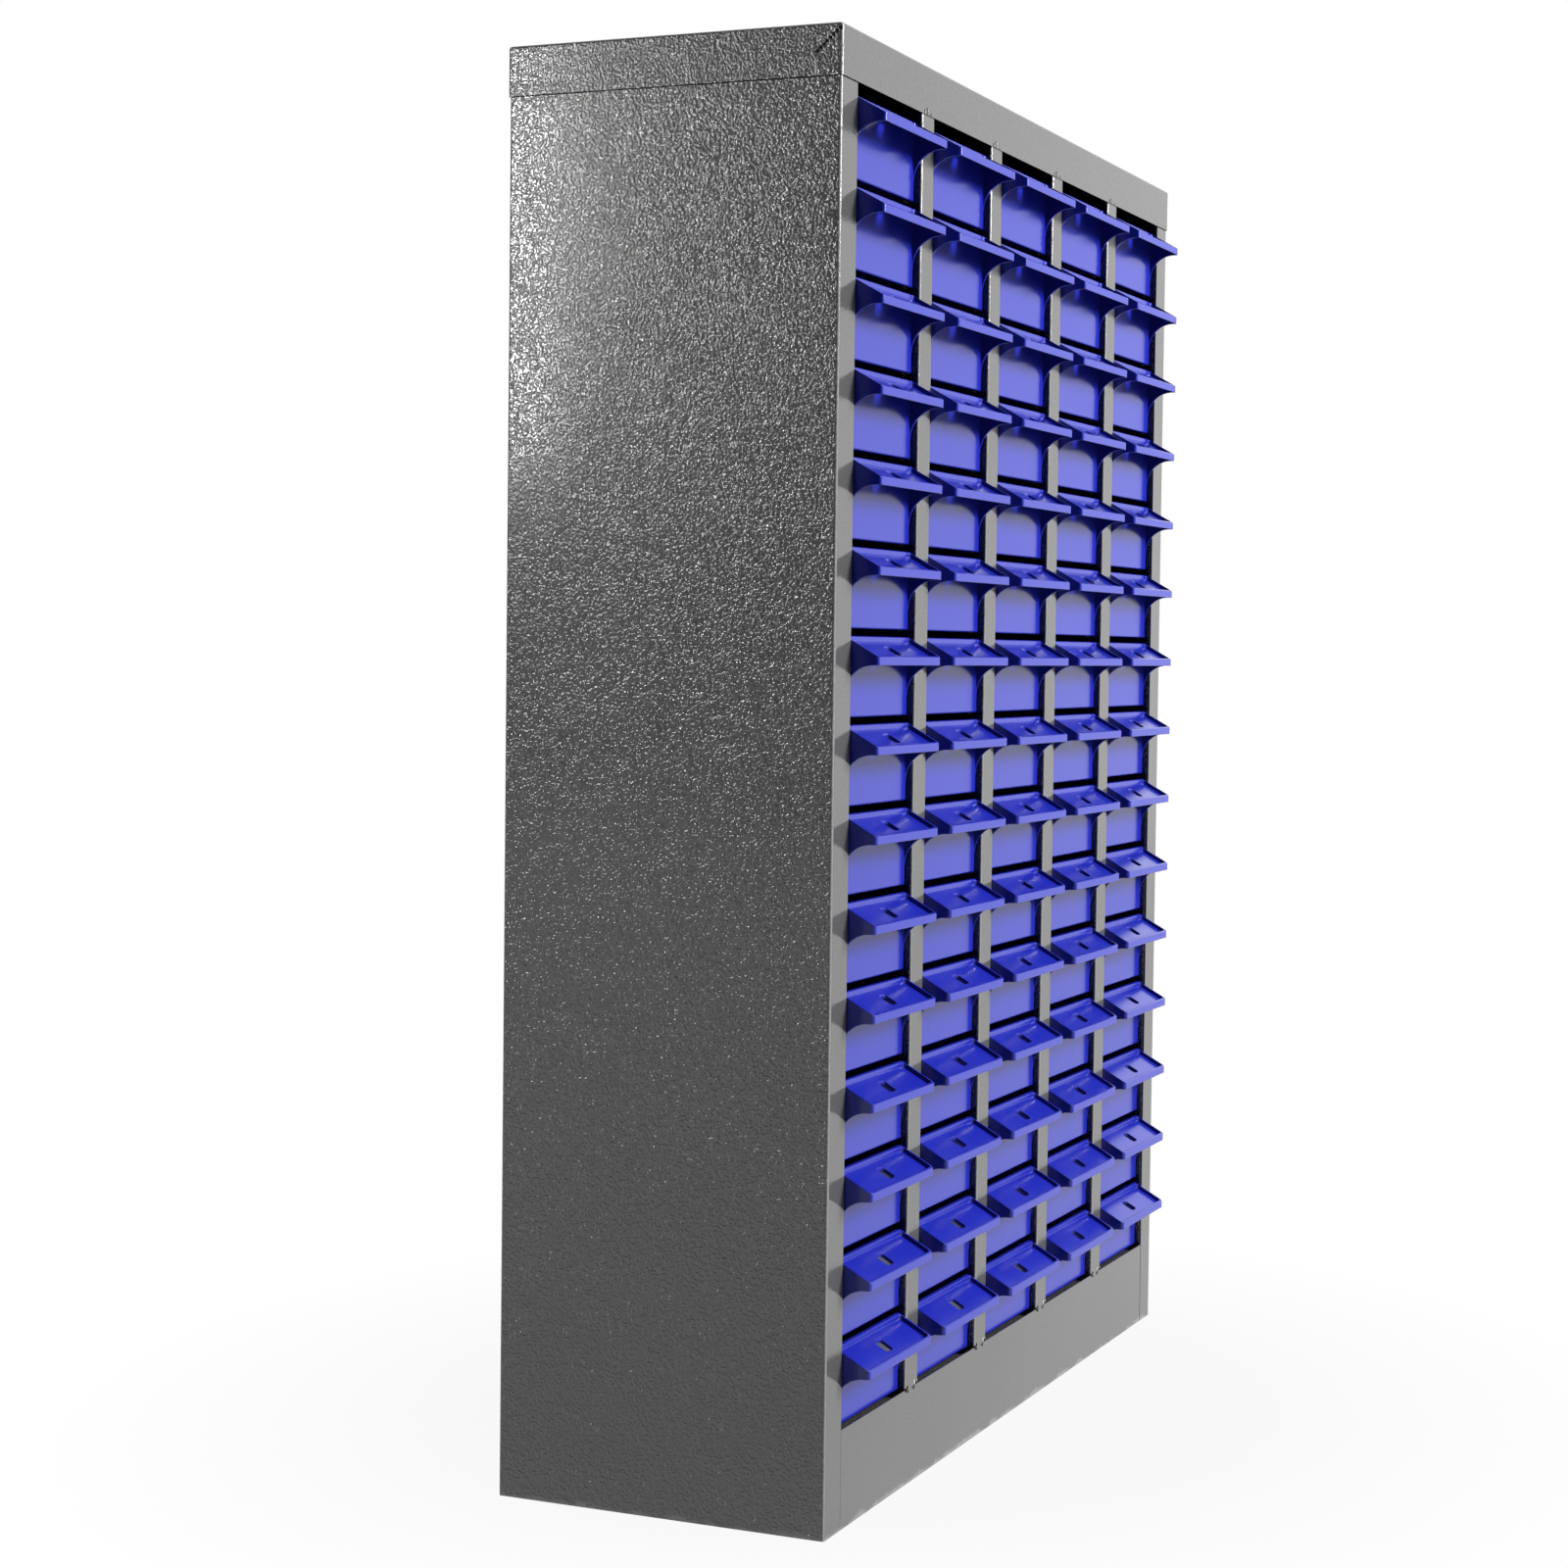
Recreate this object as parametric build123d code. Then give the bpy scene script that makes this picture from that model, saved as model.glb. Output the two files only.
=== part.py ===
from build123d import *
import os

# Parts bin cabinet: a carcass folded from sheet steel, with columns of moulded plastic drawers.
# Each drawer slides forwards on two steel runner strips welded to the walls of its column.
# Millimetres. +Z is up and the drawer fronts face -Y. The origin is on the floor, at the centre
# of the outline, drawer handles included.

# ---------------------------------------------------------------- driving dimensions

# How many drawers
columns = 5
rows = 15
single_rows = 8             # rows from the top whose drawers each have a part of their own

# Drawer front
front_width = 100.0
front_height = 51.3
front_wall = 2.0
front_edge_radius = 1.2
front_recess = 5.0          # drawer front behind the face of the carcass

# Drawer handle: a dished tray that slopes down from the top of the front, on two gussets
handle_reach = 23.7         # front face of the drawer to the lip
handle_drop = 13.0          # rim at the drawer front to rim at the lip
handle_corner_radius = 2.5
dish_depth = 3.0
dish_floor = 2.2
dish_corner_radius = 2.4
rim = 1.4                   # side and front rims of the dish
back_rim = 1.0              # dish to the face of the drawer front
slot_width = 10.0
slot_length = 10.0
slot_corner_radius = 2.5
slot_reach = 11.0           # face of the drawer front to the middle of the slot
gusset_wall = 1.6
gusset_radius = 20.0

# Drawer box
box_length = 214.0          # face of the drawer front to the back of the box
box_wall = 1.6
box_floor = 1.6
box_inset = 1.5             # side of the box inside the end of the front
box_top_drop = 2.8          # edge of the box below the top of the front
box_floor_lift = 1.0        # underside of the box above the lower edge of the front
box_corner_radius = 4.0
box_edge_radius = 2.4       # underside to the walls

# Clearances
front_side_gap = 0.75       # end of a drawer front to the post beside it
row_gap = 4.65              # lower edge of one front to the rim of the next
header_gap = 6.2            # header to the rim of the top drawer
kick_gap = 0.5              # lower edge of the bottom front to the kick plate
runner_gap = 0.3            # underside of a box to its runner
rear_gap = 13.2             # back of a box to the back panel
seam = 0.3                  # between the kick plate and the side flanges

# Sheet steel carcass
sheet = 0.8
bend_radius = 2.0           # outside of every fold
side_flange = 23.95         # front return of a side panel, up to the opening
side_rear_flange = 10.0
foot_flange = 14.0          # in-turned lower edges that stand on the floor
post_width = 21.0
post_lip = 6.0              # in-turned rear edges of a post
liner_flange = 12.0
header_height = 32.0        # flanges of the top cover
kick_height = 63.7
base_drop = 5.0             # base pan below the top of the kick plate
base_flange = 15.0
foot_relief = 2.4           # corner relief cut at the foot of a post
foot_relief_inset = 2.0

# Top cover corner: the front flange wraps onto each side as a mitred tab
cover_tab = 18.0
cover_seam = 0.5

# Runner strips
runner_width = 8.0
runner_thickness = 1.5
runner_setback = 4.0        # front of a runner behind the face of the drawer front
runner_rear_gap = 4.6       # back of a runner to the back panel

# ---------------------------------------------------------------- layout from the sizes above

column_opening = front_width + 2 * front_side_gap
column_pitch = column_opening + post_width
row_pitch = front_height + row_gap
openings_width = columns * column_pitch - post_width
body_width = openings_width + 2 * side_flange
body_depth = front_recess + box_length + rear_gap + 2 * sheet
header_bottom = kick_height + kick_gap + rows * row_pitch - row_gap + header_gap
cover_underside = header_bottom + header_height - sheet
wall_top = cover_underside - bend_radius     # clear of the cover's own folds
back_panel_y = body_depth - 2 * sheet        # front of the back panel, inside the rear flanges
front_lip_y = front_recess - handle_reach
front_y = -(front_lip_y + body_depth + sheet) / 2    # face of the carcass in the part's frame
base_top = kick_height - base_drop
box_width = front_width - 2 * box_inset
runner_length = back_panel_y - runner_rear_gap - front_recess - runner_setback


def column_centre(column):
    """Middle of a column's opening, columns counted from 0 at the left."""
    return -openings_width / 2 + column_opening / 2 + column * column_pitch


def front_bottom(row):
    """Height of the lower edge of a drawer front, rows counted from 0 at the top."""
    return header_bottom - header_gap - front_height - row * row_pitch


def block(x0, x1, y0, y1, z0, z1):
    """Box between two corners, y measured from the face of the carcass."""
    centre = ((x0 + x1) / 2, (y0 + y1) / 2, (z0 + z1) / 2)
    return Pos(*centre) * Box(x1 - x0, y1 - y0, z1 - z0)


def side_profile(points, half_width):
    """Solid whose outline in the YZ plane runs through the given (y, z) points."""
    outline = make_face(Polyline(*points, close=True))
    return extrude(Plane.YZ * outline, half_width, both=True)


def channel(x0, x1, y0, y1, z0, z1):
    """Upright tube of sheet with rounded folds, to be cut open into a channel."""
    width, depth = x1 - x0, y1 - y0
    inner = bend_radius - sheet
    outline = RectangleRounded(width, depth, bend_radius)
    hollow = RectangleRounded(width - 2 * sheet, depth - 2 * sheet, inner)
    return Pos((x0 + x1) / 2, (y0 + y1) / 2, z0) * extrude(outline - hollow, z1 - z0)


# ---------------------------------------------------------------- drawer

# Drawer frame: x across, y back from the face of the drawer front, z up from its lower edge.

def drawer_front():
    """Flat front with rounded ends and lower edge."""
    wall = block(-front_width / 2, front_width / 2, 0, front_wall, 0, front_height)
    face = wall.faces().sort_by(Axis.Y)[0]
    top = face.edges().sort_by(Axis.Z)[-1]
    rounded = [edge for edge in face.edges() if edge != top]
    return fillet(rounded, min(front_edge_radius, 0.8 * front_wall))


def dish_cutter():
    """Hollow of the handle's dish, above its sloping floor and inside its rims."""
    width = front_width - 2 * rim
    length = handle_reach - rim - back_rim
    middle = -back_rim - length / 2
    plan = extrude(RectangleRounded(width, length, dish_corner_radius), 2 * front_height)
    floor = front_height - dish_depth
    above = [
        (0, floor),
        (-handle_reach, floor - handle_drop),
        (-handle_reach, front_height + handle_drop),
        (0, front_height + handle_drop),
    ]
    return Pos(0, middle, 0) * plan & side_profile(above, front_width)


def handle():
    """Sloping dish with a slot through its floor."""
    lip_height = dish_depth + dish_floor
    lip_top = front_height - handle_drop
    outline = [
        (front_wall, front_height),
        (0, front_height),
        (-handle_reach, lip_top),
        (-handle_reach, lip_top - lip_height),
        (0, front_height - lip_height),
        (front_wall, front_height - lip_height),
    ]
    slot = extrude(RectangleRounded(slot_width, slot_length, slot_corner_radius), front_height)
    return side_profile(outline, front_width / 2) - dish_cutter() - Pos(0, -slot_reach, 0) * slot


def gussets():
    """Two end plates that carry the handle, each ending in a hollow quarter circle."""
    lip_height = dish_depth + dish_floor
    under_lip = front_height - handle_drop - lip_height
    radius = min(gusset_radius, handle_reach - rim)
    outline = [
        (front_wall, front_height - lip_height),
        (0, front_height - lip_height),
        (-handle_reach, under_lip),
        (-radius, under_lip),
    ]
    edge = Polyline(*outline)
    curve = CenterArc((-radius, under_lip - radius), radius, 90, -90)
    end = Polyline((0, under_lip - radius), (front_wall, under_lip - radius), outline[0])
    plate = make_face([*edge.edges(), curve, *end.edges()])
    both = extrude(Plane.YZ * plate, front_width / 2, both=True)
    return both - extrude(Plane.YZ * plate, front_width / 2 - gusset_wall, both=True)


def rounded_handle():
    """Handle and gussets with the corners of their plan outline rounded."""
    plan_length = 2 * handle_reach
    plan = extrude(RectangleRounded(front_width, plan_length, handle_corner_radius), front_height)
    return (handle() + gussets()) & Pos(0, -handle_reach + plan_length / 2, 0) * plan


def box():
    """Open box behind the drawer front, its corners and lower edges rounded."""
    top = front_height - box_top_drop
    half = box_width / 2
    outer = block(-half, half, front_wall / 2, box_length, box_floor_lift, top)
    back = outer.faces().sort_by(Axis.Y)[-1]
    outer = fillet(back.edges().filter_by(Axis.Z), box_corner_radius)
    lower = outer.faces().sort_by(Axis.Z)[0].edges()
    front_edge = lower.sort_by(Axis.Y)[0]
    outer = fillet([edge for edge in lower if edge != front_edge], box_edge_radius)
    inside = half - box_wall
    floor = box_floor_lift + box_floor
    hollow = block(-inside, inside, front_wall, box_length - box_wall, floor, 2 * front_height)
    hollow = fillet(hollow.edges().filter_by(Axis.Z), box_corner_radius - box_wall)
    floor_edges = hollow.faces().sort_by(Axis.Z)[0].edges()
    return outer, fillet(floor_edges, max(box_edge_radius - box_wall, 0.2))


def drawer():
    """One moulding: front, handle and box."""
    outer, hollow = box()
    return drawer_front() + outer - hollow + rounded_handle()


# ---------------------------------------------------------------- carcass

# Carcass frame: x across, y back from the face of the carcass, z up from the floor.

def side_panel(hand):
    """Side with a front flange, a rear flange and an in-turned foot; hand is -1 left, 1 right."""
    outer = body_width / 2
    inner = outer - 2 * side_flange
    tube = channel(inner, outer, 0, body_depth, 0, wall_top)
    keep_front = block(outer - side_flange, outer, 0, body_depth / 2, 0, wall_top)
    keep_rear = block(outer - side_rear_flange, outer, body_depth / 2, body_depth, 0, wall_top)
    panel = tube & (keep_front + keep_rear)
    foot = block(outer - foot_flange, outer - sheet, sheet, back_panel_y, 0, sheet)
    panel = panel + foot
    return panel if hand > 0 else mirror(panel, about=Plane.YZ)


def side_liner(hand):
    """Channel that closes the outer side of the first and last columns."""
    edge = openings_width / 2
    tube = channel(edge, edge + 2 * liner_flange, sheet, back_panel_y, base_top, wall_top)
    open_side = block(edge + liner_flange, edge + 2 * liner_flange, 0, back_panel_y, 0, wall_top)
    liner = tube - open_side
    return liner if hand > 0 else mirror(liner, about=Plane.YZ)


def post(index):
    """Full-depth channel between two columns, its front face part of the front frame."""
    middle = column_centre(index) + column_pitch / 2
    half = post_width / 2
    tube = channel(middle - half, middle + half, 0, back_panel_y, base_top, wall_top)
    gap = half - post_lip
    rear_slot = block(middle - gap, middle + gap, back_panel_y / 2, back_panel_y, 0, wall_top)
    behind_kick = block(middle - half, middle + half, 0, 2 * sheet, 0, kick_height)
    foot = tube - rear_slot - behind_kick
    for side in (-1, 1):
        x = middle + side * (half - foot_relief_inset - foot_relief / 2)
        cut = foot_relief / 2
        foot -= block(x - cut, x + cut, 0, sheet, kick_height, kick_height + foot_relief)
    return foot


def back_panel():
    """Flat sheet behind the posts and inside the rear flanges, clear of their folds."""
    half = body_width / 2 - bend_radius
    return block(-half, half, back_panel_y, back_panel_y + sheet, 0, wall_top)


def kick_plate():
    """Plate below the bottom drawers, with an in-turned foot."""
    half = openings_width / 2 - seam
    face = block(-half, half, 0, sheet, 0, kick_height)
    foot = block(-half, half, 0, foot_flange, 0, sheet)
    return face + foot


def base_pan():
    """Floor of the carcass, with turned-down edges."""
    half = body_width / 2 - sheet
    front, rear = sheet, back_panel_y
    outer = block(-half, half, front, rear, base_top - base_flange, base_top)
    outer = fillet(outer.edges().filter_by(Axis.Z), bend_radius)
    inner = block(-half + sheet, half - sheet, front + sheet, rear - sheet,
                  base_top - base_flange, base_top - sheet)
    inner = fillet(inner.edges().filter_by(Axis.Z), bend_radius - sheet)
    return outer - inner


def cover_corner_seam():
    """Narrow cut round the tab at the right front corner: a mitre, then straight down."""
    top = cover_underside + sheet
    tab_edge = cover_tab - sheet
    half_seam = cover_seam / 2
    mitre = [
        (-sheet + half_seam, top - bend_radius),
        (-sheet + half_seam, top - bend_radius - cover_seam),
        (tab_edge - half_seam, top - cover_tab - half_seam),
        (tab_edge - half_seam, top - header_height),
        (tab_edge + half_seam, top - header_height),
        (tab_edge + half_seam, top - cover_tab + half_seam),
    ]
    cut = side_profile(mitre, bend_radius)
    return Pos(body_width / 2 + sheet, 0, 0) * cut


def top_cover():
    """Cap over the carcass with flanges all round."""
    width = body_width + 2 * sheet
    depth = body_depth + 2 * sheet
    outer = Box(width, depth, header_height)
    outer = fillet(outer.edges().filter_by(Axis.Z), bend_radius)
    outer = fillet(outer.faces().sort_by(Axis.Z)[-1].edges(), bend_radius)
    inner_radius = bend_radius - sheet
    hollow = Box(width - 2 * sheet, depth - 2 * sheet, header_height)
    hollow = fillet(hollow.edges().filter_by(Axis.Z), inner_radius)
    hollow = fillet(hollow.faces().sort_by(Axis.Z)[-1].edges(), inner_radius)
    cap = outer - Pos(0, 0, -sheet) * hollow
    cap = Pos(0, body_depth / 2, header_bottom + header_height / 2) * cap
    corner = cover_corner_seam()
    return cap - corner - mirror(corner, about=Plane.YZ)


def runner_strips():
    """Two flat strips under every drawer, welded edge-on to the walls of its column."""
    strips = []
    front = front_recess + runner_setback
    for row in range(rows):
        top = front_bottom(row) + box_floor_lift - runner_gap
        for column in range(columns):
            for side in (-1, 1):
                wall = column_centre(column) + side * column_opening / 2
                x0, x1 = sorted((wall, wall - side * runner_width))
                strips.append(block(x0, x1, front, front + runner_length,
                                    top - runner_thickness, top))
    return Compound(children=strips)


# ---------------------------------------------------------------- write the parts

def save(shape, node):
    """Move a piece from the carcass frame to the part's frame and write it."""
    export_step(Pos(0, front_y, 0) * shape, f"parts/{node}.step")


os.makedirs("parts", exist_ok=True)

save(side_panel(-1), "left_side_panel")
save(side_panel(1), "right_side_panel")
save(side_liner(-1), "left_side_liner")
save(side_liner(1), "right_side_liner")
save(back_panel(), "back_panel")
save(top_cover(), "top_cover")
save(kick_plate(), "kick_plate")
save(base_pan(), "base_pan")
save(runner_strips(), "runner_strips")
for index in range(columns - 1):
    save(post(index), f"post_{index + 1}")

moulding = drawer()
for row in range(rows):
    places = [Pos(column_centre(column), front_recess, front_bottom(row))
              for column in range(columns)]
    if row < single_rows:
        for column, place in enumerate(places):
            save(place * moulding, f"drawer_r{row + 1:02d}_c{column + 1}")
    else:
        save(Compound(children=[place * moulding for place in places]),
             f"drawer_row_{row + 1:02d}")

print(f"cabinet {body_width + 2 * sheet:.1f} x {body_depth + 2 * sheet:.1f}"
      f" x {cover_underside + sheet:.1f}, face at y {front_y:.2f}")
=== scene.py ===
import math
import random

import bmesh
import bpy
from mathutils import Matrix, Vector


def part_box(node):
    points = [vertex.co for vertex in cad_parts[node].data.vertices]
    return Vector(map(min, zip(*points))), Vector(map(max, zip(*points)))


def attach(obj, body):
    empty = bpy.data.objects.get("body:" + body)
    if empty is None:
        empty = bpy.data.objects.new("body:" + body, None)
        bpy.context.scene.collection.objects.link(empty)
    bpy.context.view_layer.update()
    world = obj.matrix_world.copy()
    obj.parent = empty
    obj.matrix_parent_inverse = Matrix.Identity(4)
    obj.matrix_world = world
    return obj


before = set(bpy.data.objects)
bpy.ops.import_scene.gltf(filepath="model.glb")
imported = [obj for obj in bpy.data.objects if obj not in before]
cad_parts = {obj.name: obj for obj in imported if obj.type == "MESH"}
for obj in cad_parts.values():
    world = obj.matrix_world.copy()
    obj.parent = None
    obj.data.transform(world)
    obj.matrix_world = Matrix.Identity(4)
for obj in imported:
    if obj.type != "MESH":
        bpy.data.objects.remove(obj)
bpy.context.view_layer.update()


# ---------------------------------------------------------------- side panels
# Sheet steel folded round the front and rear corners. Sprayed with grey hammered enamel, which
# dries to a fine pebbled skin. They stand on their in-turned feet, which rub bare of gloss.

mm = 0.001
pebble_size = 1.8 * mm
pebble_height = 0.24 * mm
pebble_edge = (0.34, 0.66)      # where the noise turns from hollow to pebble
front_calm = 0.12               # share of the pebble height on faces that look forwards
enamel_gloss = (0.10, 0.13)
enamel_ior = 1.7
enamel_grey = (0.155, 0.155, 0.153)
enamel_dark = (0.115, 0.115, 0.114)
enamel_worn = (0.30, 0.30, 0.30)
# painted highlight: a lighter grey laid on the rounded bends
bend_painted_highlight = (0.42, 0.42, 0.42)
# painted shade: near-black for walls that face sideways, inside the columns
side_wall_painted_shade = (0.012, 0.012, 0.014)
foot_wear_reach = 12 * mm


def join(tree, source, target):
    """Feed a socket from another one, or give it a plain number or colour."""
    if isinstance(source, bpy.types.NodeSocket):
        tree.links.new(source, target)
    elif target.type == "RGBA":
        target.default_value = (*source, 1)
    else:
        target.default_value = source


def clouds(tree, where, scale, detail, roughness=0.5, distortion=0.0):
    """Soft patches over the surface, from 0 to 1."""
    made = tree.nodes.new("ShaderNodeTexNoise")
    for name, value in (("Vector", where), ("Scale", scale), ("Detail", detail),
                        ("Roughness", roughness), ("Distortion", distortion)):
        join(tree, value, made.inputs[name])
    return made.outputs["Fac"]


def ramp(tree, value, low, high, to_low=0.0, to_high=1.0, curve="LINEAR"):
    """Stretch a value between two ends onto two others."""
    made = tree.nodes.new("ShaderNodeMapRange")
    made.interpolation_type = curve
    for name, given in (("Value", value), ("From Min", low), ("From Max", high),
                        ("To Min", to_low), ("To Max", to_high)):
        join(tree, given, made.inputs[name])
    return made.outputs["Result"]


def reckon(tree, operation, *values, clamp=False):
    """One sum on the values given."""
    made = tree.nodes.new("ShaderNodeMath")
    made.operation = operation
    made.use_clamp = clamp
    for socket, value in zip(made.inputs, values):
        join(tree, value, socket)
    return made.outputs["Value"]


def split(tree, vector):
    """The X, Y and Z of a vector."""
    made = tree.nodes.new("ShaderNodeSeparateXYZ")
    join(tree, vector, made.inputs["Vector"])
    return made.outputs


def blend(tree, share, first, second):
    """Go from the first colour to the second by a share."""
    made = tree.nodes.new("ShaderNodeMix")
    made.data_type = "RGBA"
    for name, value in (("Factor", share), ("A", first), ("B", second)):
        join(tree, value, made.inputs[name])
    return made.outputs["Result"]


def bump(tree, height, strength, distance, under=None):
    """A normal from a height, on top of another normal if there is one."""
    made = tree.nodes.new("ShaderNodeBump")
    made.inputs["Strength"].default_value = strength
    made.inputs["Distance"].default_value = distance
    join(tree, height, made.inputs["Height"])
    if under is not None:
        join(tree, under, made.inputs["Normal"])
    return made.outputs["Normal"]


def open_group(name, inputs, outputs):
    """A shader group with its sockets. Gives back the tree, what comes in and what goes out."""
    group = bpy.data.node_groups.new(name, "ShaderNodeTree")
    for socket, kind, value in inputs:
        made = group.interface.new_socket(name=socket, in_out="INPUT", socket_type=kind)
        made.default_value = value
    for socket, kind in outputs:
        group.interface.new_socket(name=socket, in_out="OUTPUT", socket_type=kind)
    given = group.nodes.new("NodeGroupInput").outputs
    put = group.nodes.new("NodeGroupOutput").inputs
    return group, given, put


def placed(tree, group):
    """A shader group put to work in a material."""
    made = tree.nodes.new("ShaderNodeGroup")
    made.node_tree = group
    return made


def new_finish(name):
    """A material, its node tree and the sockets of its Principled shader."""
    finish = bpy.data.materials.new(name)
    finish.use_nodes = True
    return finish, finish.node_tree, finish.node_tree.nodes["Principled BSDF"].inputs


# Hammered skin: fine pebbles over slow patches, put out as a height, a shade and a roughness.
hammered, given, put = open_group(
    "hammered skin",
    (("Pebble Scale", "NodeSocketFloat", 1 / pebble_size),
     ("Light", "NodeSocketColor", (*enamel_grey, 1)),
     ("Dark", "NodeSocketColor", (*enamel_dark, 1))),
    (("Color", "NodeSocketColor"), ("Height", "NodeSocketFloat"),
     ("Roughness", "NodeSocketFloat")))
place = hammered.nodes.new("ShaderNodeTexCoord").outputs
fine = clouds(hammered, place["Object"], given["Pebble Scale"], 1.0, roughness=0.4)
pebble = ramp(hammered, fine, *pebble_edge, curve="SMOOTHSTEP")
calm = ramp(hammered, split(hammered, place["Normal"])["Y"], -0.9, -0.4, front_calm, 1.0)
join(hammered, reckon(hammered, "MULTIPLY", pebble, calm), put["Height"])
patches = clouds(hammered, place["Object"], 9, 3)
shade = reckon(hammered, "MULTIPLY_ADD", pebble, 0.45,
               reckon(hammered, "MULTIPLY", patches, 0.5))
join(hammered, blend(hammered, shade, given["Dark"], given["Light"]), put["Color"])
join(hammered, ramp(hammered, patches, 0.3, 0.7, *enamel_gloss), put["Roughness"])

# Foot wear: how far the paint is rubbed, from 1 on the floor to 0 a few millimetres up.
foot_wear, given, put = open_group(
    "foot wear", (("Reach", "NodeSocketFloat", foot_wear_reach),), (("Mask", "NodeSocketFloat"),))
place = foot_wear.nodes.new("ShaderNodeTexCoord").outputs
up = reckon(foot_wear, "DIVIDE", split(foot_wear, place["Object"])["Z"], given["Reach"])
rubbed = reckon(foot_wear, "SUBTRACT", clouds(foot_wear, place["Object"], 60, 4), up)
join(foot_wear, ramp(foot_wear, rubbed, 0.25, 0.5), put["Mask"])

# Masks: 1 on the rounded bends, which get a painted highlight, and 1 on walls that face sideways,
# which get painted shade.
folds, given, put = open_group(
    "bend highlight and side wall shade masks", (), (("Fold", "NodeSocketFloat"), ("Side", "NodeSocketFloat")))
place = folds.nodes.new("ShaderNodeTexCoord").outputs
sideways = reckon(folds, "ABSOLUTE", split(folds, place["Normal"])["X"])
bend_begins = ramp(folds, sideways, 0.12, 0.40)
wall_begins = ramp(folds, sideways, 0.70, 0.92)
join(folds, reckon(folds, "SUBTRACT", bend_begins, wall_begins, clamp=True), put["Fold"])
join(folds, wall_begins, put["Side"])


def hammered_enamel(name, paint_side_wall_shade):
    """Grey enamel over the pebbled skin, with a painted highlight on the bends. If asked, walls
    that face sideways, between the columns, get near-black painted shade.
    """
    enamel, tree, skin = new_finish(name)
    pebbles = placed(tree, hammered).outputs
    bends = placed(tree, folds).outputs
    paint = blend(tree, placed(tree, foot_wear).outputs["Mask"], pebbles["Color"], enamel_worn)
    # painted highlight on the rounded bends
    paint = blend(tree, bends["Fold"], paint, bend_painted_highlight)
    # painted shade on the walls that face sideways, between the columns
    if paint_side_wall_shade:
        paint = blend(tree, bends["Side"], paint, side_wall_painted_shade)
    join(tree, paint, skin["Base Color"])
    join(tree, pebbles["Roughness"], skin["Roughness"])
    join(tree, bump(tree, pebbles["Height"], 1.0, pebble_height), skin["Normal"])
    skin["IOR"].default_value = enamel_ior
    return enamel


steel = hammered_enamel("grey_hammered_enamel", False)
# posts and liners: their sideways walls get painted shade
column_steel = hammered_enamel("grey_enamel_painted_side_wall_shade", True)


def dress(name, material):
    """A CAD piece gets its finish. It keeps the CAD's own normals, smooth round the folds."""
    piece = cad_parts[name]
    piece.data.materials.clear()
    piece.data.materials.append(material)
    return piece


for hand in ("left", "right"):
    dress(f"{hand}_side_panel", steel)
    dress(f"{hand}_side_liner", column_steel)


# ---------------------------------------------------------------- back, base and kick plate
# Flat back sheet, a shallow pan for a floor, and the plate below the bottom drawers. Cut from
# the same sheet, and welded before the whole carcass is sprayed.

dress("back_panel", steel)
dress("base_pan", steel)
dress("kick_plate", steel)


# ---------------------------------------------------------------- posts
# Four channels between the columns of drawers. Their rounded folds get a painted highlight and
# their sideways walls painted shade, and each is held to the header and the kick plate by small
# welds.

for number in range(1, 5):
    dress(f"post_{number}", column_steel)

header_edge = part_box("top_cover")[0].z
header_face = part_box("top_cover")[0].y
kick_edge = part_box("kick_plate")[1].z
kick_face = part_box("kick_plate")[0].y
# painted shade: near-black for the small pits at the welds and for the seams
pit_and_seam_shade_black = (0.010, 0.010, 0.012)
pit_and_seam_shade_grey = (0.030, 0.030, 0.032)
# bare steel, painted near-white to stand in for its glint
bare_and_glint_white = (0.86, 0.86, 0.84)
bare_and_glint_grey = (0.76, 0.76, 0.75)

# Weld marks in millimetres: across from the middle of the post, up from the edge of the plate,
# and, for the marks at its foot, the half width.
# dark marks under the header: painted shade of small pits at the welds
header_pit_shades = ((-8.6, 2.8), (-5.2, 4.2), (1.5, 1.6))
# weld beads: bare steel with a painted glint
header_beads = ((-7.0, 1.2), (-3.4, 3.0))
# dark marks at the foot: painted shade of a notch and a hole
foot_notch_shades = ((-9.8, -0.2, 1.3), (-8.6, -1.1, 0.8), (-6.4, -1.5, 0.9),
              (3.3, -1.1, 1.2), (4.4, -0.3, 0.7), (0.6, -0.6, 0.4))
# weld beads at the foot: bare steel with a painted glint
foot_beads = ((4.3, 2.1, 1.2), (8.2, 2.4, 0.6))
pit_shade_half_width = 0.6 * mm


def speckled(name, light, dark, scale, smooth, rough, metal, shine):
    """Two uses: bare steel with a painted glint, and dark painted shade. Two shades and two
    degrees of polish in small patches.
    """
    made, tree, skin = new_finish(name)
    place = tree.nodes.new("ShaderNodeTexCoord").outputs
    patch = clouds(tree, place["Object"], scale, 3)
    join(tree, blend(tree, patch, dark, light), skin["Base Color"])
    join(tree, ramp(tree, patch, 0.0, 1.0, rough, smooth), skin["Roughness"])
    skin["Metallic"].default_value = metal
    skin["Specular IOR Level"].default_value = shine
    return made


def bar(shape, low, high):
    """One narrow bar with its corners knocked off, added to a shape."""
    low, high = Vector(low), Vector(high)
    made = bmesh.ops.create_cube(shape, size=1.0)["verts"]
    size, middle = high - low, (low + high) / 2
    for point in made:
        point.co = Vector((point.co.x * size.x, point.co.y * size.y, point.co.z * size.z)) + middle
    edges = list({edge for point in made for edge in point.link_edges})
    bmesh.ops.bevel(shape, geom=edges, offset=min(size) * 0.25, segments=2, affect="EDGES")


def bead(shape, middle, radius, proud):
    """One small weld bead: a ball pressed flat against the face."""
    turn = Matrix.Translation(Vector(middle)) @ Matrix.Diagonal((radius, proud, radius * 1.2, 1))
    bmesh.ops.create_icosphere(shape, subdivisions=2, radius=1.0, matrix=turn)


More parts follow.
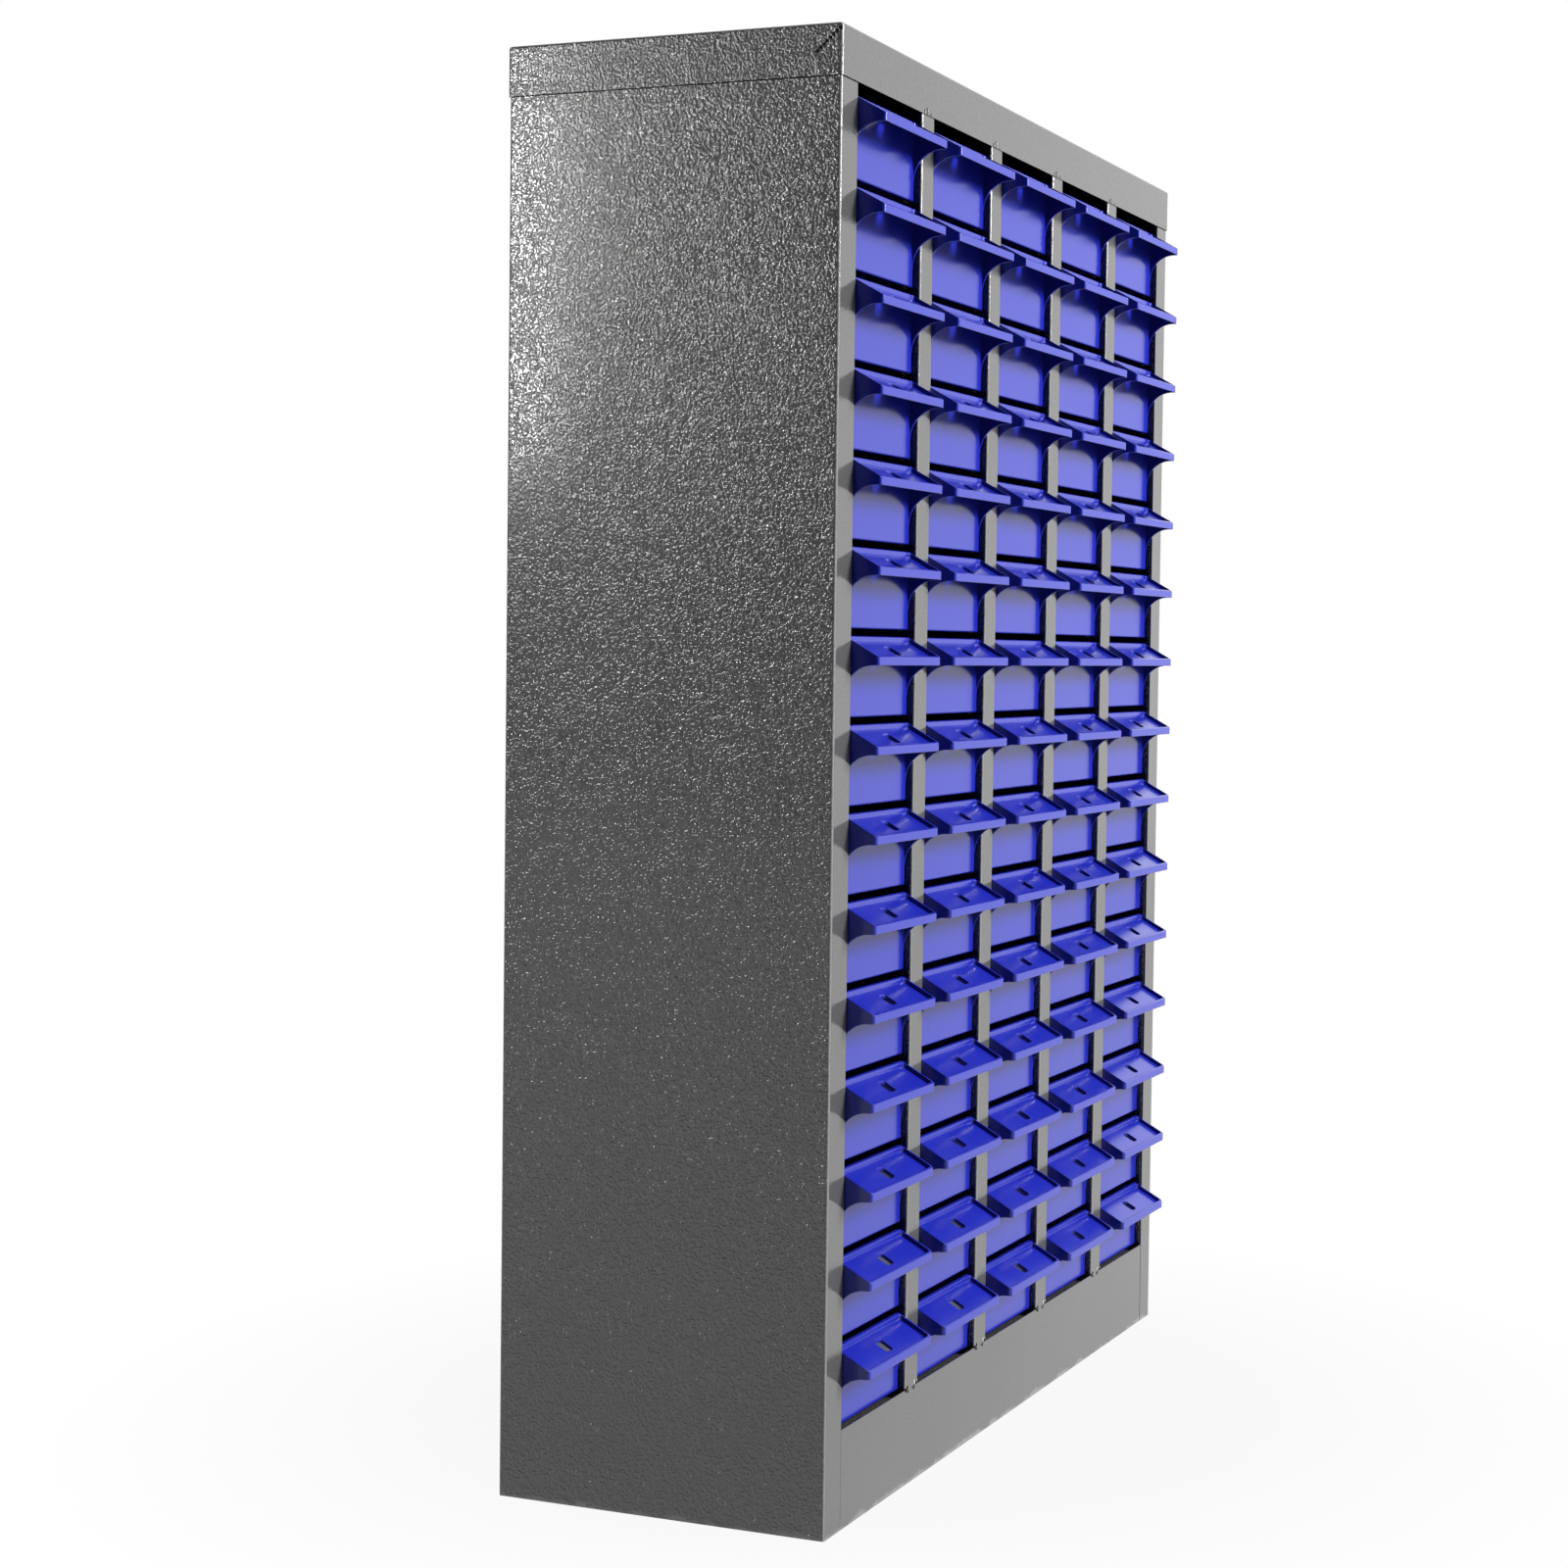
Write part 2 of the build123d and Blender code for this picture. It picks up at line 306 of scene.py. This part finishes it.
def finished(shape, name, material):
    """Small marks made into one piece that stays on the carcass."""
    for side in shape.faces:
        side.smooth = True
    mesh = bpy.data.meshes.new(name)
    shape.to_mesh(mesh)
    shape.free()
    mesh.materials.append(material)
    piece = bpy.data.objects.new(name, mesh)
    bpy.context.scene.collection.objects.link(piece)
    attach(piece, "cabinet")
    return piece


# bare steel with a painted glint, for the weld beads and the tab's cut edge
bare_steel_and_glint = speckled("bare_steel_with_painted_glint", bare_and_glint_white, bare_and_glint_grey, 900,
                smooth=0.30, rough=0.45, metal=0.1, shine=0.5)
# painted shade for the weld pits and the seams
dark_shade_finish = speckled("painted_pit_and_seam_shade", pit_and_seam_shade_grey, pit_and_seam_shade_black, 700,
                 smooth=0.7, rough=0.95, metal=0.0, shine=0.05)
dice = random.Random(5)
glint_marks, shade_marks = bmesh.new(), bmesh.new()
for number in range(1, 5):
    low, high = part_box(f"post_{number}")
    middle = (low.x + high.x) / 2
    for shift, rise in header_pit_shades:
        x = middle + (shift + dice.uniform(-0.8, 0.8)) * mm
        top = header_edge + (rise + dice.uniform(-0.5, 0.5)) * mm
        bar(shade_marks, (x - pit_shade_half_width, header_face - 0.08 * mm, header_edge + 0.2 * mm),
            (x + pit_shade_half_width, header_face + 0.2 * mm, top))
    for shift, rise in header_beads:
        x = middle + (shift + dice.uniform(-0.5, 0.5)) * mm
        bead(glint_marks, (x, header_face, header_edge + rise * mm), 0.55 * mm, 0.25 * mm)
    for shift, rise, width in foot_notch_shades:
        x = middle + (shift + dice.uniform(-0.4, 0.4)) * mm
        bead(shade_marks, (x, kick_face - 0.02 * mm, kick_edge + rise * mm), width * mm, 0.2 * mm)
    for shift, rise, width in foot_beads:
        x = middle + (shift + dice.uniform(-0.4, 0.4)) * mm
        bead(glint_marks, (x, kick_face - 0.05 * mm, kick_edge + rise * mm), width * mm,
             0.35 * mm)
finished(glint_marks, "weld_beads", bare_steel_and_glint)
finished(shade_marks, "weld_pit_shades", dark_shade_finish)


# ---------------------------------------------------------------- runner strips
# Flat steel strips welded edge-on to the walls of each column, and sprayed with the carcass.
# The drawers rub their paint smooth.

runner_grey = (0.10, 0.10, 0.10)
runner_dark = (0.05, 0.05, 0.05)
runner_pebble_height = 0.4 * mm

runner, tree, skin = new_finish("rubbed_runner_enamel")
rubbed = placed(tree, hammered)
join(tree, runner_grey, rubbed.inputs["Light"])
join(tree, runner_dark, rubbed.inputs["Dark"])
join(tree, rubbed.outputs["Color"], skin["Base Color"])
join(tree, rubbed.outputs["Roughness"], skin["Roughness"])
join(tree, bump(tree, rubbed.outputs["Height"], 0.2, runner_pebble_height), skin["Normal"])
skin["IOR"].default_value = enamel_ior
dress("runner_strips", runner)


# ---------------------------------------------------------------- top cover
# Cap of the same sheet with flanges all round. Its front flange wraps onto each side as a
# mitred tab, and is the header above the drawers.

tab_length = 18 * mm
# the bare cut edge is painted near-white as its highlight
cut_edge_height = 10 * mm       # the lower part of the tab's end shows its bare cut edge
mitre_steps = 8

dress("top_cover", steel)

cover_low, cover_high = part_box("top_cover")
wall_outside = -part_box("left_side_panel")[0].x
wall_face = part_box("left_side_panel")[0].y
wall_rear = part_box("left_side_panel")[1].y
flange_end = -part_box("kick_plate")[0].x
kick_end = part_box("kick_plate")[1].x
tab_end = cover_low.y + tab_length
mitre_low = cover_high.z - tab_length
mitre_start = Vector((0, cover_low.y + 0.6 * mm, cover_high.z - 2.8 * mm))
mitre_end = Vector((0, tab_end, mitre_low))


def on_side(side, inner, outer):
    """Two distances from the middle of the cabinet, as places on its left or right side."""
    return sorted((side * inner, side * outer))


seams, cut_edges = bmesh.new(), bmesh.new()
for side in (-1, 1):
    # painted shade: dark lines under the side flange, and under the header on the panel's front
    # flange
    near, far = on_side(side, wall_outside - 0.1 * mm, wall_outside + 0.35 * mm)
    bar(seams, (near, wall_face + 1.0 * mm, cover_low.z - 0.55 * mm),
        (far, wall_rear - 1.5 * mm, cover_low.z - 0.02 * mm))
    near, far = on_side(side, flange_end + 0.3 * mm, wall_outside - 1.5 * mm)
    bar(seams, (near, wall_face - 0.3 * mm, cover_low.z - 0.5 * mm),
        (far, wall_face + 0.1 * mm, cover_low.z - 0.02 * mm))
    # painted shade: dark line down the upper part of the tab's end, and along its mitre
    near, far = on_side(side, wall_outside - 0.1 * mm, wall_outside + 0.802 * mm)
    bar(seams, (near, tab_end - 0.3 * mm, cover_low.z + cut_edge_height),
        (far, tab_end + 0.3 * mm, mitre_low))
    for step in range(mitre_steps):
        a = mitre_start.lerp(mitre_end, step / mitre_steps)
        b = mitre_start.lerp(mitre_end, (step + 1) / mitre_steps)
        bar(seams, (near, a.y - 0.2 * mm, b.z - 0.3 * mm), (far, b.y + 0.3 * mm, a.z + 0.2 * mm))
    # bare cut edge on the lower part of the tab's end, painted near-white as a highlight
    near, far = on_side(side, wall_outside + 0.1 * mm, wall_outside + 0.804 * mm)
    bar(cut_edges, (near, tab_end - 0.9 * mm, cover_low.z + 0.3 * mm),
        (far, tab_end + 0.9 * mm, cover_low.z + cut_edge_height + 0.5 * mm))
# painted shade: dark line in the seam at the right end of the kick plate
bar(seams, (kick_end - 0.35 * mm, kick_face - 0.04 * mm, 0.3 * mm),
    (kick_end + 0.65 * mm, kick_face + 0.2 * mm, kick_edge))
finished(seams, "seam_shades", dark_shade_finish)
finished(cut_edges, "tab_cut_edges", bare_steel_and_glint)


# ---------------------------------------------------------------- drawers
# Each is one glossy blue moulding: front, dished handle on two gussets, and the box behind.
# They lie loose on their runners and slide out forwards.

drawer_blue = (0.020, 0.032, 0.560)
drawer_blue_deep = (0.017, 0.027, 0.510)
# painted shade: light bouncing off the drawers takes a near-black blue, which darkens the gaps
# between them
drawer_blue_painted_bounce_shade = (0.004, 0.005, 0.060)      # seen by light that bounces on into the gaps
drawer_gloss = (0.16, 0.22)
drawer_ior = 1.5
moulded_edge = 0.6 * mm
mould_ripple = 0.4 * mm

plastic, tree, skin = new_finish("blue_moulded_plastic")
place = tree.nodes.new("ShaderNodeTexCoord").outputs
flow = clouds(tree, place["Object"], 28, 2, distortion=0.4)
path = tree.nodes.new("ShaderNodeLightPath").outputs
colour = blend(tree, flow, drawer_blue_deep, drawer_blue)
# painted shade: diffuse bounces see the near-black blue
colour = blend(tree, path["Is Diffuse Ray"], colour, drawer_blue_painted_bounce_shade)
join(tree, colour, skin["Base Color"])
join(tree, ramp(tree, flow, 0.3, 0.7, *drawer_gloss), skin["Roughness"])
rounded = tree.nodes.new("ShaderNodeBevel")
rounded.samples = 4
rounded.inputs["Radius"].default_value = moulded_edge
ripple = clouds(tree, place["Object"], 120, 1)
join(tree, bump(tree, ripple, 0.06, mould_ripple, rounded.outputs["Normal"]), skin["Normal"])
skin["IOR"].default_value = drawer_ior

for name in sorted(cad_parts):
    if name.startswith("drawer"):
        dress(name, plastic)


# ---------------------------------------------------------------- floor
# A pale floor that turns to plain white away from the cabinet. Mirrored in the left side of the
# cabinet it is a little darker.

floor_half = 6.0
floor_grey = (0.20, 0.20, 0.20)
near_white = 0.93
left_white = 0.68
fade_from, fade_to = 0.28, 0.60

floor_mesh = bpy.data.meshes.new("floor")
floor_mesh.from_pydata([(-floor_half, -floor_half, 0), (floor_half, -floor_half, 0),
                        (floor_half, floor_half, 0), (-floor_half, floor_half, 0)],
                       [], [(0, 1, 2, 3)])
floor = bpy.data.objects.new("floor", floor_mesh)
bpy.context.scene.collection.objects.link(floor)

pale = bpy.data.materials.new("pale_floor")
pale.use_nodes = True
tree = pale.node_tree
tree.nodes.clear()
surface = tree.nodes.new("ShaderNodeOutputMaterial")
matt = tree.nodes.new("ShaderNodeBsdfDiffuse")
join(tree, floor_grey, matt.inputs["Color"])
plain = tree.nodes.new("ShaderNodeEmission")
join(tree, (1, 1, 1), plain.inputs["Color"])
path = tree.nodes.new("ShaderNodeLightPath").outputs
place = tree.nodes.new("ShaderNodeTexCoord").outputs
to_left = ramp(tree, split(tree, place["Object"])["X"], -0.45, -0.25, left_white, 1.0)
mirrored = reckon(tree, "MULTIPLY", path["Is Glossy Ray"], to_left)
seen = reckon(tree, "MAXIMUM", path["Is Camera Ray"], mirrored)
away = tree.nodes.new("ShaderNodeVectorMath")
away.operation = "LENGTH"
join(tree, place["Object"], away.inputs[0])
fade = ramp(tree, away.outputs["Value"], fade_from, fade_to, near_white, 1.0)
mixed = tree.nodes.new("ShaderNodeMixShader")
join(tree, reckon(tree, "MULTIPLY", seen, fade), mixed.inputs["Fac"])
join(tree, matt.outputs["BSDF"], mixed.inputs[1])
join(tree, plain.outputs["Emission"], mixed.inputs[2])
join(tree, mixed.outputs["Shader"], surface.inputs["Surface"])
floor_mesh.materials.append(pale)


# ---------------------------------------------------------------- light
# Plain white behind, a soft bright wall on the right, a large lamp in front on the right, and a
# narrow one behind on the left that picks out the pebbles of the left side panel.

bright_side = (0.80, -0.50, 0.33)
wall_light = 1.15

world = bpy.data.worlds.new("studio")
bpy.context.scene.world = world
world.cycles.sampling_method = "NONE"
world.use_nodes = True
tree = world.node_tree
tree.nodes.clear()
surround = tree.nodes.new("ShaderNodeOutputWorld")
place = tree.nodes.new("ShaderNodeTexCoord").outputs
facing = tree.nodes.new("ShaderNodeVectorMath")
facing.operation = "DOT_PRODUCT"
join(tree, place["Generated"], facing.inputs[0])
join(tree, bright_side, facing.inputs[1])
soft = tree.nodes.new("ShaderNodeBackground")
join(tree, (1, 1, 1), soft.inputs["Color"])
join(tree, ramp(tree, facing.outputs["Value"], 0.10, 0.85, 0.0, wall_light, "SMOOTHSTEP"),
     soft.inputs["Strength"])
white = tree.nodes.new("ShaderNodeBackground")
join(tree, (1, 1, 1), white.inputs["Color"])
join(tree, 1.0, white.inputs["Strength"])
path = tree.nodes.new("ShaderNodeLightPath").outputs
mixed = tree.nodes.new("ShaderNodeMixShader")
join(tree, reckon(tree, "MAXIMUM", path["Is Camera Ray"], path["Is Transmission Ray"]),
     mixed.inputs["Fac"])
join(tree, soft.outputs["Background"], mixed.inputs[1])
join(tree, white.outputs["Background"], mixed.inputs[2])
join(tree, mixed.outputs["Shader"], surround.inputs["Surface"])


def soft_box(name, place, target, width, height, power):
    """A rectangular lamp that looks at a point."""
    lamp = bpy.data.lights.new(name, "AREA")
    lamp.shape = "RECTANGLE"
    lamp.size, lamp.size_y = width, height
    lamp.energy = power
    holder = bpy.data.objects.new(name, lamp)
    bpy.context.scene.collection.objects.link(holder)
    holder.location = place
    holder.rotation_mode = "QUATERNION"
    holder.rotation_quaternion = (Vector(target) - Vector(place)).to_track_quat("-Z", "Y")


soft_box("front_light", (0.9, -2.8, 1.85), (0, 0, 0.5), width=0.9, height=1.2, power=95)
soft_box("rear_left_light", (-1.66, 1.02, 1.12), (-0.3, 0.1, 0.68),
         width=0.20, height=0.70, power=13)


# ---------------------------------------------------------------- camera
# Stands where the photograph was taken: left of the cabinet, at half its height.

turn, tilt, lean = math.radians(-68.92), math.radians(-2.00), math.radians(0.85)
camera_x, camera_z = -1.8407, 0.5547
camera_ahead = 0.7088           # in front of the kick plate

forward = Vector((-math.cos(tilt) * math.sin(turn), math.cos(tilt) * math.cos(turn),
                  math.sin(tilt)))
level_right = forward.cross(Vector((0, 0, 1))).normalized()
level_up = level_right.cross(forward)
right = math.cos(lean) * level_right + math.sin(lean) * level_up
upward = -math.sin(lean) * level_right + math.cos(lean) * level_up
view = bpy.data.cameras.new("camera")
view.sensor_width = 36
view.lens = 62.54
view.shift_x, view.shift_y = -0.15, -0.0237
view.clip_start = 0.05
view.clip_end = 50
camera = bpy.data.objects.new("camera", view)
bpy.context.scene.collection.objects.link(camera)
pose = Matrix((right, upward, -forward)).transposed().to_4x4()
pose.translation = (camera_x, kick_face - camera_ahead, camera_z)
camera.matrix_world = pose
bpy.context.scene.camera = camera
bpy.context.scene.view_settings.view_transform = "Standard"
